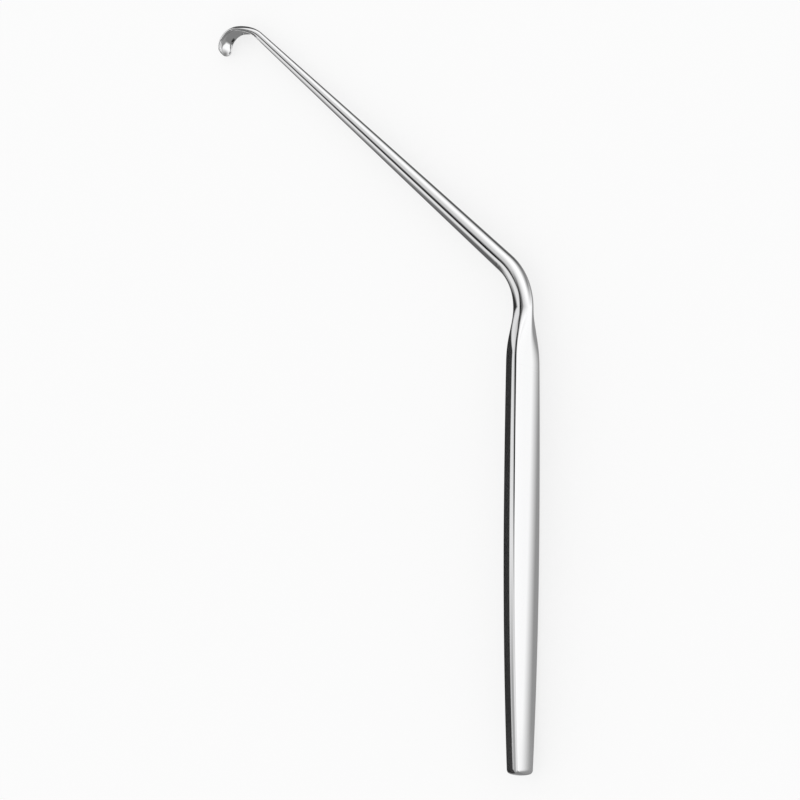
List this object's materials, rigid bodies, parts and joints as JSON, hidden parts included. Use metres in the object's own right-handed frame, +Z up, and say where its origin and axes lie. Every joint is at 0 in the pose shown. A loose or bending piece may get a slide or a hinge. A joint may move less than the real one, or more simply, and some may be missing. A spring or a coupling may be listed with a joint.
{
  "type": "surgical retractor",
  "caption": "Handheld surgical retractor with a slim flat handle, a bent and tapered round shaft and a small scooped hook blade.",
  "frame": {"origin": "middle of the bounding box's bottom face, on the surface the instrument lies on", "axes": "+X along the handle from its butt to the neck; +Y the side the shaft bends to; +Z up from the surface, across the handle's width"},
  "size_m": [0.1928, 0.0988, 0.0107],
  "materials": {
    "polished_steel": "fine polished, bright"
  },
  "bodies": {
    "root": {"retractor": "polished_steel"}
  },
  "joints": []
}
